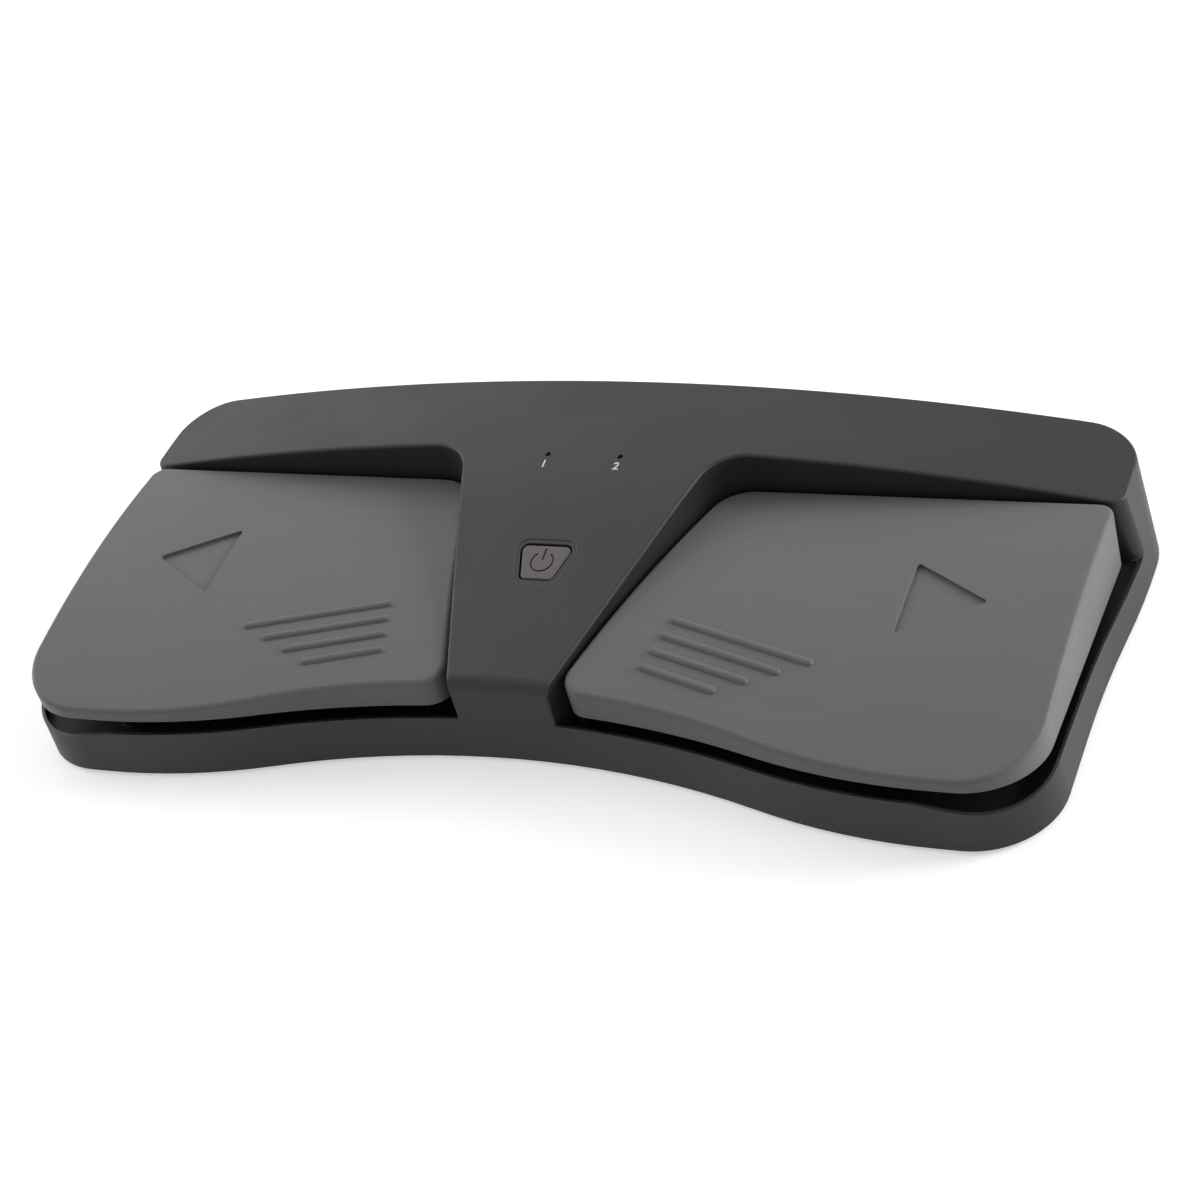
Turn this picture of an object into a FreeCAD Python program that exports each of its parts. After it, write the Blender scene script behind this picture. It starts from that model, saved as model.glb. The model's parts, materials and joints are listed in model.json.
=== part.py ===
import FreeCAD, Part
import math
import os

os.makedirs("parts", exist_ok=True)
V = FreeCAD.Vector

# A wireless foot pedal with two hinged treads in a low arched housing.
# Millimetres, +X to the right, +Y to the rear, +Z up. The origin is the middle of the box on the floor.

# Plan outline at the foot of the outer wall
half_width = 120.0
half_depth = 52.4
front_dip = 14.2
bulge_radius = 135.0
front_flat = 4.6839
front_corner_radius = 17.2
waist_inset = 2.8
waist_radius = 260.0
flank_radius = 210.0
rear_corner_radius = 19.0
rear_corner_taper = 0.31
flank_flat = 0.6734

# Heights above the floor
foot_height = 1.0
rim_front_z = 12.4
rim_rear_z = 7.8
top_height = 34.0
well_floor_top = 7.0

# Top surface: a ramp, a blend and a flat band, all arched across the width
crown_radius = 640.0
ramp_angle = 11.5
ramp_blend_radius = 120.0
band_flat_inset = 7.5
top_edge_radius = 0.7
front_edge_radius = 3.0
band_end_radius = 3.0

# Walls
wall_draft = 1.5
rear_draft = 4.4
end_draft = 7.9
wall = 2.2
skirt_rim = 0.8
rim_rise = 9.0
well_floor = 1.8
base_thickness = 2.0
base_clearance = 0.2

# Tread wells
band_depth = 25.9
island_front_inset = 0.7
island_front_half_width = 11.5
island_flare = 0.30
island_corner_radius = 10.0

# Treads
tread_side_gap = 0.8
tread_skirt_gap = 0.4
tread_rear_top = 23.6
tread_crest_back = 21.5
tread_top_radius = 240.0
tread_bottom_rear = 9.4
tread_front_thickness = 2.1979
tread_skin = 2.2
tread_wall = 2.0
tread_edge_radius = 1.1
tread_rear_corner_radius = 3.5
tread_front_corner_radius = 5.0
tread_corner_shrink = 0.6

# Tread markings
rib_count = 4
rib_width = 2.2
rib_height = 0.7
rib_slant = 15.5
first_rib_inner = (33.3, -16.9)
first_rib_length = 32.9
last_rib_inner = (30.2, -29.6)
last_rib_length = 17.3
arrow_base_x = 80.0
arrow_rear_y = 3.6
arrow_front_y = -17.0
arrow_tip_x = 97.4
arrow_depth = 0.8
arrow_corner_radius = 0.6

# Tread hinge
hinge_inset = 7.5
hinge_z = 12.0
pin_radius = 1.5
pin_clearance = 0.05
pin_seat = 0.02
lug_radius = 4.0
lug_thickness = 5.0
inner_lug_x = 43.0
outer_lug_inset = 22.0
block_thickness = 6.0
block_gap = 0.4
block_depth = 8.0
block_top_above_pin = 3.5
block_flange = 7.0
block_flange_height = 2.0
press_angle = 2.4

# Return springs, stops and tread switches
spring_x = 66.0
spring_arm = 39.0
spring_outer_radius = 3.9
spring_wire = 0.7
spring_turns = 7.5
spring_seat_z = 17.2
spring_stub_radius = 2.4
spring_stub_height = 1.6
spring_boss_radius = 4.8
seat_clearance = 0.1
spring_foot_gap = 0.05
spring_head_gap = 0.3
stop_inner_x = 34.0
stop_inner_arm = 46.0
stop_outer_inset = 28.0
stop_outer_front_inset = 12.4
stop_post_radius = 4.0
stop_post_height = 2.6
bumper_radius = 3.0
bumper_height = 2.0
bumper_edge_radius = 0.4
stop_rib_radius = 2.4
stop_play = 0.3
switch_x = 60.0
switch_arm = 24.0
switch_size = 6.0
switch_top = 9.4
switch_window_gap = 0.6
plunger_radius = 1.6
plunger_top = 13.4
plunger_bottom = 7.0
plunger_clearance = 0.08
plunger_gap = 0.3
plunger_end_gap = 0.4
plunger_edge_radius = 0.5
post_radius = 2.2

# Boards
board_thickness = 1.6
switch_board_thickness = 1.0
switch_board_bottom = 3.6
switch_board_length = 26.0
switch_board_width = 12.0
board_rest_inset = 2.0
board_rest_width = 2.0
main_board_bottom = 14.0
main_board_half_width = 33.0
main_board_front_gap = 3.7
main_board_rear_gap = 3.7
tongue_half_width = 11.0
tongue_front_y = -14.0

module_x = 12.0
module_inset = 7.8
module_length = 15.0
module_width = 10.0
module_board_thickness = 0.8
module_can_height = 1.6
module_can_margin = 0.8
module_aerial = 4.0

# Leads
lead_radius = 0.5
lead_bend = 1.8
lead_rise = 2.6
lead_channel_gap = 3.3
lead_turn_x = 31.0
lead_run = 8.0
lead_socket_x = 17.0
lead_socket_inset = 1.0
lead_socket_length = 7.0
lead_socket_width = 5.0
lead_socket_height = 4.6
battery_socket_inset = 5.8
battery_lead_run = 4.0
battery_lead_drop = 2.2
lead_pitch = 2.0

# Power button
button_y = -6.1
button_depth = 8.8
button_rear_half_width = 6.0
button_front_half_width = 3.6
button_corner_radius = 1.3
button_gap = 0.45
button_sink = 0.15
button_edge_radius = 0.4
button_flange = 1.0
button_flange_height = 1.0
button_flange_drop = 4.4
button_travel = 0.6
button_post_radius = 1.8
button_mouth_depth = 12.0
button_dish = 1.0
button_dish_depth = 0.2
power_symbol_radius = 2.5
power_symbol_stroke = 0.4
power_symbol_shift = 0.1
power_symbol_gap = 3.0
power_stroke_start = 0.4
power_stroke_end = 3.4
power_symbol_depth = 0.25
power_switch_height = 3.6
power_plunger_radius = 1.7
power_plunger_rise = 1.4
power_plunger_depth = 1.0

# Indicator lamps
lamp_x = 8.65
lamp_y = 23.4
lamp_hole_radius = 0.7
lamp_size = 1.6
lamp_height = 0.8
pipe_clearance = 0.06
pipe_foot_radius = 1.6
pipe_recess = 0.7
pipe_lamp_gap = 0.2
pipe_guide_radius = 2.9
pipe_guide_bottom = 22.0

# Charging socket
socket_x = 0.0
socket_width = 9.0
socket_height = 3.2
socket_length = 7.4
socket_shell = 0.35
socket_clearance = 0.2
socket_back = 1.0
socket_side_flat = 0.4
socket_mouth_reach = 6.0
socket_tongue_inset = 1.2
socket_tongue_thickness = 0.7

# Battery
battery_end_gap = 7.2
battery_side_gap = 4.0
battery_height = 9.0
battery_pad_thickness = 1.0
battery_pad_margin = 2.5
battery_edge_radius = 2.0
battery_fence = 1.2
battery_fence_gap = 0.3
battery_fence_height = 5.0

# Screws
screw_radius = 1.25
screw_clearance = 0.06
screw_head_radius = 2.3
screw_head_height = 1.2
screw_boss_radius = 3.2
base_screw_length = 5.2
corner_screw_inset = 17.0
corner_screw_rear_inset = 14.4
corner_screw_front_inset = 16.4
middle_screw_gap = 5.5
middle_screw_rear_inset = 12.0
island_screw_inset = 8.2
board_post_radius = 2.6
board_post_inset = 3.5
tongue_post_y = 2.5
board_screw_length = 6.0
pan_head_radius = 2.0
pan_head_height = 1.4
pan_edge_radius = 0.5
hinge_screw_length = 5.0

# Feet
pad_length = 34.0
pad_width = 9.0
pad_recess = 0.5
pad_side_inset = 38.0
pad_front_inset = 14.4
pad_rear_inset = 11.4
pad_edge_radius = 4.4

# Cross recesses of the screws
recess_length = 2.6
recess_width = 0.5
recess_depth = 0.7

# Reach of joined pieces into each other, of cuts past a face, and of working blocks past the part
weld = 0.5
over = 1.0
beyond = 20.0

# Upward part of the normal of faces that count as tops and as walls
top_lift = 0.8
wall_lift = 0.3

body_bottom = foot_height
base_top = body_bottom + base_thickness
draft = math.tan(math.radians(wall_draft))
rear_lean = math.tan(math.radians(rear_draft))
end_lean = math.tan(math.radians(end_draft))
high = top_height + half_depth
bulge_x = half_width - waist_inset - front_corner_radius - front_flat
dip_radius = (bulge_x ** 2 + front_dip ** 2) / (2 * front_dip) - bulge_radius
side_radii = waist_radius + flank_radius
side_run = math.sqrt(2 * side_radii * waist_inset - waist_inset ** 2)
waist_start_y = half_depth - rear_corner_radius - flank_flat - side_run
band_front_y = half_depth - band_depth
band_flat_y = band_front_y + band_flat_inset
island_front_y = front_dip - half_depth + island_front_inset
tread_top_crest_y = band_front_y - tread_crest_back
hinge_y = band_front_y - hinge_inset
outer_lug_x = half_width - outer_lug_inset
spring_y = hinge_y - spring_arm
switch_y = hinge_y - switch_arm
main_board_front_y = band_front_y + main_board_front_gap
main_board_rear_y = half_depth - main_board_rear_gap
module_y = main_board_front_y + module_inset
lead_channel_y = band_front_y + lead_channel_gap
lead_socket_y = main_board_front_y + lead_socket_inset
battery_socket_y = main_board_rear_y - battery_socket_inset
corner_screw_x = half_width - corner_screw_inset
middle_screw_x = main_board_half_width + middle_screw_gap
battery_x = -(corner_screw_x + middle_screw_x) / 2
battery_length = corner_screw_x - middle_screw_x - 2 * battery_end_gap
battery_y = (band_front_y + half_depth) / 2
battery_width = band_depth - 2 * battery_side_gap
board_post_x = main_board_half_width - board_post_inset
board_post_front_y = main_board_front_y + board_post_inset
board_post_rear_y = main_board_rear_y - board_post_inset
pad_x = half_width - pad_side_inset
floor_under = well_floor_top - well_floor
board_top = main_board_bottom + board_thickness


def box(x0, y0, z0, x1, y1, z1):
    """A box between two corners."""
    return Part.makeBox(x1 - x0, y1 - y0, z1 - z0, V(x0, y0, z0))


def rod(x, y, z0, z1, radius):
    """An upright cylinder."""
    return Part.makeCylinder(radius, z1 - z0, V(x, y, z0), V(0, 0, 1))


def mirror(shape):
    """The same piece on the other side of the middle plane."""
    return shape.mirror(V(0, 0, 0), V(1, 0, 0))


def both_sides(shape):
    """The piece and its mirror image as one group."""
    return Part.makeCompound([shape, mirror(shape)])


def join(shapes):
    """One solid from pieces that overlap."""
    joined = shapes[0].multiFuse(shapes[1:])
    return joined.removeSplitter()


def arc(centre, radius, start, end):
    """A plane arc from one angle to another, in degrees."""
    def point(angle):
        turn = math.radians(angle)
        return V(centre[0] + radius * math.cos(turn), centre[1] + radius * math.sin(turn), 0)
    return Part.Arc(point(start), point((start + end) / 2), point(end)).toShape()


def line(start, end):
    """A plane straight edge."""
    return Part.LineSegment(V(start[0], start[1], 0), V(end[0], end[1], 0)).toShape()


def rounded_polygon(corners):
    """A closed plane wire through (x, y, radius) corners."""
    count = len(corners)
    starts = []
    ends = []
    middles = []
    for i in range(count):
        here = V(corners[i][0], corners[i][1], 0)
        before = V(corners[i - 1][0], corners[i - 1][1], 0)
        after = V(corners[(i + 1) % count][0], corners[(i + 1) % count][1], 0)
        back = (before - here).normalize()
        ahead = (after - here).normalize()
        radius = corners[i][2]
        half = back.getAngle(ahead) / 2
        reach = radius / math.tan(half)
        starts.append(here + back * reach)
        ends.append(here + ahead * reach)
        inward = (back + ahead).normalize()
        middles.append(here + inward * (radius / math.sin(half) - radius))
    edges = []
    for i in range(count):
        if corners[i][2] > 0:
            edges.append(Part.Arc(starts[i], middles[i], ends[i]).toShape())
        following = starts[(i + 1) % count]
        if ends[i].distanceToPoint(following) > 0.001:
            edges.append(Part.LineSegment(ends[i], following).toShape())
    return Part.Wire(edges)


def prism(wire, z0, z1):
    """A plane wire drawn at height zero, raised between two heights."""
    face = Part.Face(wire)
    face.translate(V(0, 0, z0))
    return face.extrude(V(0, 0, z1 - z0))


def front_edges(inset, side_x):
    """The front edge of the plan from the middle to a straight side, drawn in by an even inset."""
    dip_centre = (0, front_dip - half_depth - dip_radius)
    bulge_centre = (bulge_x, bulge_radius - half_depth)
    lean = math.degrees(math.atan2(bulge_centre[1] - dip_centre[1], bulge_x))
    corner = (side_x - front_corner_radius, front_corner_radius - half_depth)
    low = inset - half_depth
    return [
        arc(dip_centre, dip_radius + inset, 90, lean),
        arc(bulge_centre, bulge_radius - inset, lean + 180, 270),
        line((bulge_x, low), (corner[0], low)),
        arc(corner, front_corner_radius - inset, 270, 360),
    ]


def outline(inset, rise=0):
    """The plan outline of the leaning wall at a rise above its foot, drawn in by an even inset."""
    inset = inset + rise * draft
    side_x = half_width - waist_inset
    end_x = half_width - rise * (end_lean - draft)
    step = abs(end_x - side_x)
    turn = math.copysign(1, end_x - side_x)
    flank_y = waist_start_y + math.sqrt(2 * side_radii * step - step ** 2)
    swing = turn * math.degrees(math.asin((flank_y - waist_start_y) / side_radii))
    facing = 90 + turn * 90
    waist_centre = (side_x + turn * waist_radius, waist_start_y)
    flank_centre = (end_x - turn * flank_radius, flank_y)
    rear_y = half_depth - rise * (rear_lean - draft)
    corner_radius = rear_corner_radius - rise * (rear_corner_taper - draft)
    rear = (end_x - corner_radius, rear_y - corner_radius)
    half = front_edges(inset, side_x) + [
        line((side_x - inset, front_corner_radius - half_depth), (side_x - inset, waist_start_y)),
        arc(waist_centre, waist_radius + turn * inset, facing, facing - swing),
        arc(flank_centre, flank_radius - turn * inset, 180 - facing - swing, 180 - facing),
        line((end_x - inset, flank_y), (end_x - inset, rear[1])),
        arc(rear, corner_radius - inset, 0, 90),
        line((rear[0], rear_y - inset), (0, rear_y - inset)),
    ]
    return Part.Wire(half + [mirror(edge) for edge in reversed(half)])


def drafted_block(inset, z0, z1):
    """The outline raised from the foot of the wall, leaning in as it rises."""
    low = outline(inset, z0 - body_bottom)
    low.translate(V(0, 0, z0))
    top = outline(inset, z1 - body_bottom)
    top.translate(V(0, 0, z1))
    return Part.makeLoft([low, top], True, True)


def top_envelope(drop):
    """Everything under the arched top surface, lowered by drop."""
    height = top_height - drop
    slope = math.radians(ramp_angle)
    front = -half_depth - beyond
    rear = half_depth + beyond
    blend_y = band_flat_y - ramp_blend_radius * math.sin(slope)
    blend_z = height - ramp_blend_radius * (1 - math.cos(slope))
    half = slope / 2
    middle_y = band_flat_y - ramp_blend_radius * math.sin(half)
    middle_z = height - ramp_blend_radius * (1 - math.cos(half))
    front_z = blend_z - (blend_y - front) * math.tan(slope)
    depth = height - top_height - half_depth
    edges = [
        Part.LineSegment(V(0, front, depth), V(0, front, front_z)).toShape(),
        Part.LineSegment(V(0, front, front_z), V(0, blend_y, blend_z)).toShape(),
        Part.Arc(V(0, blend_y, blend_z), V(0, middle_y, middle_z), V(0, band_flat_y, height)).toShape(),
        Part.LineSegment(V(0, band_flat_y, height), V(0, rear, height)).toShape(),
        Part.LineSegment(V(0, rear, height), V(0, rear, depth)).toShape(),
        Part.LineSegment(V(0, rear, depth), V(0, front, depth)).toShape(),
    ]
    face = Part.Face(Part.Wire(edges))
    axis_point = V(0, 0, top_height - crown_radius)
    sweep = 2 * math.degrees(math.asin((half_width + beyond) / crown_radius))
    face.rotate(axis_point, V(0, 1, 0), -sweep / 2)
    return face.revolve(axis_point, V(0, 1, 0), sweep)


def surface_z(y, drop=0.0):
    """Height of the top surface on the middle plane."""
    slope = math.radians(ramp_angle)
    blend_y = band_flat_y - ramp_blend_radius * math.sin(slope)
    if y >= band_flat_y:
        height = top_height
    elif y >= blend_y:
        height = top_height - ramp_blend_radius + math.sqrt(ramp_blend_radius ** 2 - (band_flat_y - y) ** 2)
    else:
        height = top_height - ramp_blend_radius * (1 - math.cos(slope)) - (blend_y - y) * math.tan(slope)
    return height - drop


def island_x(y):
    """Half width of the middle island at a depth."""
    return island_front_half_width + (y - island_front_y) * island_flare


def well_wire(inset):
    """The plan of the right tread's well, drawn in by an even inset."""
    shift = inset * math.sqrt(1 + island_flare ** 2)
    rear = band_front_y - inset
    front = -half_depth - beyond
    far = half_width + beyond
    return rounded_polygon([
        (island_x(front) + shift, front, 0),
        (far, front, 0),
        (far, rear, 0),
        (island_x(rear) + shift, rear, island_corner_radius - inset),
    ])


def round_edges(shape, radius, chosen):
    """Round the edges that a test picks out."""
    edges = [edge for edge in shape.Edges if chosen(edge)]
    return shape.makeFillet(radius, edges)


def is_upright_near(x, y, reach):
    """A test for straight upright edges close to a point in plan."""
    def test(edge):
        first = edge.Vertexes[0].Point
        last = edge.Vertexes[-1].Point
        if abs(first.x - last.x) > 0.001 or abs(first.y - last.y) > 0.001:
            return False
        return math.hypot(first.x - x, first.y - y) < reach
    return test


def band_end_corner():
    """What rounding takes off the leaning front corner at the right end of the band."""
    def at(height):
        run = (height - body_bottom) * end_lean
        return V(half_width - run - band_end_radius, band_front_y + band_end_radius, height)
    low = at(rim_rear_z)
    top = at(top_height)
    out = V(3 * band_end_radius, 0, 0)
    wire = Part.makePolygon([low, low + out, top + out, top, low])
    block = Part.Face(wire).extrude(V(0, -2 * band_end_radius, 0))
    foot = at(body_bottom)
    return block.cut(Part.makeCylinder(band_end_radius, half_depth, foot, top - foot))


def housing_form():
    """The solid outer form of the housing with both wells cut and its upper edges rounded."""
    form = drafted_block(0, body_bottom, top_height + over).common(top_envelope(0))
    for cut in (well(), band_end_corner()):
        form = form.cut(cut).cut(mirror(cut))

    def is_top_edge(edge):
        faces = form.ancestorsOfType(edge, Part.Face)
        if len(faces) != 2 or edge.BoundBox.ZMin < rim_front_z + over:
            return False
        lifts = [abs(face.normalAt(*middle_of(face)).z) for face in faces]
        return max(lifts) > top_lift and min(lifts) < wall_lift

    def is_front_edge(edge):
        return is_top_edge(edge) and edge.BoundBox.YMax < island_front_y + over
    form = round_edges(form, front_edge_radius, is_front_edge)
    return round_edges(form, top_edge_radius, lambda edge: is_top_edge(edge) and not is_front_edge(edge))


def middle_of(face):
    """The middle of a face's parameter range."""
    u0, u1, v0, v1 = face.ParameterRange
    return (u0 + u1) / 2, (v0 + v1) / 2


socket_outer_y = half_depth - (board_top + socket_height / 2 - body_bottom) * rear_lean
socket_z0 = board_top
socket_z1 = board_top + socket_height
press_turn = math.radians(press_angle)
stops = [
    (stop_inner_x, hinge_y - stop_inner_arm),
    (half_width - stop_outer_inset, stop_outer_front_inset - half_depth),
]
hinge_block_x = [
    inner_lug_x + lug_thickness / 2 + block_gap,
    outer_lug_x - lug_thickness / 2 - block_gap - block_thickness,
]
hinge_screw_y = hinge_y - block_depth / 2 - block_flange / 2
block_floor = well_floor_top
base_screws_at = [(0, front_dip - half_depth + island_screw_inset)]
for screw_x, screw_y in (
    (corner_screw_x, half_depth - corner_screw_rear_inset),
    (middle_screw_x, half_depth - middle_screw_rear_inset),
    (corner_screw_x, corner_screw_front_inset - half_depth),
):
    base_screws_at += [(screw_x, screw_y), (-screw_x, screw_y)]
board_screws_at = [
    (board_post_x, board_post_front_y), (-board_post_x, board_post_front_y),
    (board_post_x, board_post_rear_y), (-board_post_x, board_post_rear_y),
    (0, tongue_post_y),
]


def slab_above(front_z, rear_z):
    """The right half of the space over a plane that falls from the front edge to the band."""
    front = -half_depth - beyond
    fall = (front_z - rear_z) / (band_front_y + half_depth)
    start = V(0, front, front_z + beyond * fall)
    end = V(0, half_depth, rear_z - band_depth * fall)
    wire = Part.makePolygon([start, end, V(0, half_depth, high), V(0, front, high), start])
    return Part.Face(wire).extrude(V(half_width + beyond, 0, 0))


def well():
    """The space cut for the right tread: down to the skirt's sloping rim and into the pocket inside it."""
    space = prism(well_wire(0), well_floor_top, high)
    step = space.common(slab_above(rim_front_z, rim_rear_z))
    return join([step, space.common(prism(outline(skirt_rim, rim_rise), well_floor_top, high))])


def button_wire(inset):
    """The plan of the power button, drawn in by an even inset."""
    lean = (button_rear_half_width - button_front_half_width) / button_depth
    side = inset * math.sqrt(1 + lean ** 2)
    rear = button_y + button_depth / 2
    front = button_y - button_depth / 2
    radius = button_corner_radius - inset
    rear_x = button_rear_half_width - side - lean * inset
    front_x = button_front_half_width - side + lean * inset
    return rounded_polygon([
        (-front_x, front + inset, radius), (front_x, front + inset, radius),
        (rear_x, rear - inset, radius), (-rear_x, rear - inset, radius),
    ])


def housing_cavity():
    """The hollow under the band and the island, and the low space under the well floors."""
    upper = drafted_block(wall, body_bottom, top_height + over).common(top_envelope(wall))
    side = prism(well_wire(-wall), -over, high)
    upper = upper.cut(side).cut(mirror(side))
    lower = prism(outline(wall), body_bottom - over, floor_under)
    return upper.fuse(lower)


def top_housing():
    """The upper shell with both wells, the button mouth, lamp holes, socket mouth and screw bosses."""
    inside = housing_cavity()
    mouth = button_wire(-button_gap - button_dish)
    dish = prism(mouth, 0, high).cut(top_envelope(button_dish_depth))
    shell = housing_form().cut(inside).cut(dish)
    bosses = []
    for x, y in base_screws_at:
        bosses.append(rod(x, y, base_top, high, screw_boss_radius))
    for x in hinge_block_x:
        for side in (1, -1):
            boss_x = side * (x + block_thickness / 2)
            bosses.append(rod(boss_x, hinge_screw_y, base_top, floor_under + weld, screw_boss_radius))
    for side in (1, -1):
        bosses.append(rod(side * lamp_x, lamp_y, pipe_guide_bottom, high, pipe_guide_radius))
    for i in range(len(bosses)):
        bosses[i] = bosses[i].common(inside)
    extras = []
    for x, y in stops:
        post = rod(x, y, well_floor_top - weld, well_floor_top + stop_post_height, stop_post_radius)
        extras += [post, mirror(post)]
    stub_top = well_floor_top + spring_stub_height
    stub = rod(spring_x, spring_y, well_floor_top - weld, stub_top, spring_stub_radius)
    extras += [stub, mirror(stub)]
    shell = join([shell] + bosses + extras)
    holes = [prism(button_wire(-button_gap), surface_z(button_y) - button_mouth_depth, high)]
    for x, y in base_screws_at:
        top = body_bottom + base_screw_length + screw_clearance
        holes.append(rod(x, y, body_bottom - over, top, screw_radius + screw_clearance))
    for x in hinge_block_x:
        for side in (1, -1):
            hole_x = side * (x + block_thickness / 2)
            holes.append(rod(hole_x, hinge_screw_y, base_top - over, high, screw_radius + screw_clearance))
    half_window = switch_size / 2 + switch_window_gap
    for side in (1, -1):
        x = side * switch_x
        holes.append(box(x - half_window, switch_y - half_window, floor_under - over,
                         x + half_window, switch_y + half_window, well_floor_top + over))
        low = pipe_guide_bottom - over
        holes.append(rod(side * lamp_x, lamp_y, low, high, lamp_hole_radius))
        foot_top = surface_z(lamp_y) - wall
        holes.append(rod(side * lamp_x, lamp_y, low, foot_top, pipe_foot_radius + pipe_clearance))
    holes.append(socket_block(socket_clearance, half_depth - socket_mouth_reach, half_depth + over))
    for hole in holes:
        shell = shell.cut(hole)
    return shell


def socket_block(grow, y0, y1):
    """The rounded bar that the charging socket fills."""
    half = socket_width / 2 + grow
    bar = box(socket_x - half, y0, socket_z0 - grow, socket_x + half, y1, socket_z1 + grow)
    radius = (socket_height - socket_side_flat) / 2 + min(grow, 0)

    def runs_deep(edge):
        first = edge.Vertexes[0].Point
        last = edge.Vertexes[-1].Point
        return abs(first.y - last.y) > over
    return round_edges(bar, radius, runs_deep)


def base_plate():
    """The bottom cover, flush in the foot of the housing, with posts for the boards and the battery."""
    plate = prism(outline(wall + base_clearance), body_bottom, base_top)
    parts = [plate]
    for x, y in board_screws_at:
        parts.append(rod(x, y, base_top - weld, main_board_bottom, board_post_radius))
    rest_reach = switch_board_length / 2 - board_rest_inset
    for y in (switch_y - rest_reach, switch_y + rest_reach):
        rest = box(switch_x - switch_board_width / 2, y - board_rest_width / 2, base_top - weld,
                   switch_x + switch_board_width / 2, y + board_rest_width / 2, switch_board_bottom)
        parts += [rest, mirror(rest)]
    low_x = battery_x - battery_length / 2 - battery_fence_gap
    high_x = battery_x + battery_length / 2 + battery_fence_gap
    for x0 in (low_x - battery_fence, high_x):
        parts.append(box(x0, battery_y - battery_width / 4, base_top - weld,
                         x0 + battery_fence, battery_y + battery_width / 4, base_top + battery_fence_height))
    plate = join(parts)
    for x, y in base_screws_at:
        plate = plate.cut(rod(x, y, body_bottom - over, base_top + over, screw_radius + screw_clearance))
        plate = plate.cut(screw_cone(x, y, screw_clearance))
    for x, y in board_screws_at:
        bottom = board_top - board_screw_length - screw_clearance
        plate = plate.cut(rod(x, y, bottom, high, screw_radius + screw_clearance))
    for pad in foot_blocks(pad_recess, base_clearance / 2):
        plate = plate.cut(pad)
    return plate


def screw_cone(x, y, grow):
    """The countersunk head of a base screw, seen from below."""
    foot = V(x, y, body_bottom)
    return Part.makeCone(screw_head_radius + grow, screw_radius + grow, screw_head_height, foot, V(0, 0, 1))


def foot_blocks(rise, grow):
    """The four foot pads from the floor to a rise into the base plate."""
    blocks = []
    for x in (-pad_x, pad_x):
        for y in (pad_front_inset - half_depth, half_depth - pad_rear_inset):
            half_x = pad_length / 2 + grow
            half_y = pad_width / 2 + grow
            radius = pad_edge_radius + grow
            wire = rounded_polygon([
                (x - half_x, y - half_y, radius), (x + half_x, y - half_y, radius),
                (x + half_x, y + half_y, radius), (x - half_x, y + half_y, radius),
            ])
            blocks.append(prism(wire, 0, body_bottom + rise))
    return blocks


def tread_envelope(drop):
    """The space between a tread's underside and its gently bowed top, lowered by drop."""
    front = -half_depth - beyond
    rear = half_depth
    middle = (front + rear) / 2
    bottom_front = tread_top_z(-half_depth) - tread_front_thickness
    fall = (bottom_front - tread_bottom_rear) / (band_front_y + half_depth)
    front_low = tread_bottom_rear + (band_front_y - front) * fall
    rear_low = tread_bottom_rear - (rear - band_front_y) * fall
    if drop > 0:
        front_low = 0
        rear_low = 0
    front_top = V(0, front, tread_top_z(front, drop))
    rear_top = V(0, rear, tread_top_z(rear, drop))
    edges = [
        Part.LineSegment(V(0, front, front_low), V(0, rear, rear_low)).toShape(),
        Part.LineSegment(V(0, rear, rear_low), rear_top).toShape(),
        Part.Arc(rear_top, V(0, middle, tread_top_z(middle, drop)), front_top).toShape(),
        Part.LineSegment(front_top, V(0, front, front_low)).toShape(),
    ]
    return Part.Face(Part.Wire(edges)).extrude(V(half_width + beyond, 0, 0))


def tread_top_z(y, drop=0.0):
    """Height of the tread's top at a depth."""
    crest = tread_rear_top + (band_front_y - tread_top_crest_y) ** 2 / (2 * tread_top_radius) - drop
    return crest - tread_top_radius + math.sqrt(tread_top_radius ** 2 - (y - tread_top_crest_y) ** 2)


def tread_plan(inset):
    """The plan block of the right tread, drawn in by an even inset."""
    margin = skirt_rim + rim_rise * draft + tread_skirt_gap + inset
    side_x = half_width - waist_inset
    corner_y = front_corner_radius - half_depth
    front_y = front_dip - half_depth + margin
    wire = Part.Wire(front_edges(margin, side_x) + [
        line((side_x - margin, corner_y), (side_x - margin, half_depth)),
        line((side_x - margin, half_depth), (0, half_depth)),
        line((0, half_depth), (0, front_y)),
    ])
    block = prism(well_wire(tread_side_gap + inset), 0, high).common(prism(wire, 0, high))
    corners = [
        (tread_rear_corner_radius, side_x - margin, band_front_y - tread_side_gap - inset),
        (tread_front_corner_radius, island_x(island_front_y) + tread_side_gap + inset, front_y),
    ]
    for radius, x, y in corners:
        block = round_edges(block, radius - tread_corner_shrink * inset, is_upright_near(x, y, radius))
    return block


def rib(start, length):
    """One half round rib on the tread's top, with ball ends."""
    slant = math.radians(rib_slant)
    end = (start[0] + length * math.cos(slant), start[1] - length * math.sin(slant))
    radius = rib_width / 2
    first = V(start[0], start[1], tread_top_z(start[1]) + rib_height - radius)
    last = V(end[0], end[1], tread_top_z(end[1]) + rib_height - radius)
    bar = Part.makeCylinder(radius, (last - first).Length, first, last - first)
    ball = Part.makeSphere(radius, first)
    far_ball = Part.makeSphere(radius, last)
    return join([bar, ball, far_ball])


def tread_ribs():
    """The row of slanted ribs, shorter towards the front."""
    ribs = []
    for i in range(rib_count):
        share = i / (rib_count - 1)
        x = first_rib_inner[0] + (last_rib_inner[0] - first_rib_inner[0]) * share
        y = first_rib_inner[1] + (last_rib_inner[1] - first_rib_inner[1]) * share
        ribs.append(rib((x, y), first_rib_length + (last_rib_length - first_rib_length) * share))
    return ribs


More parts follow.
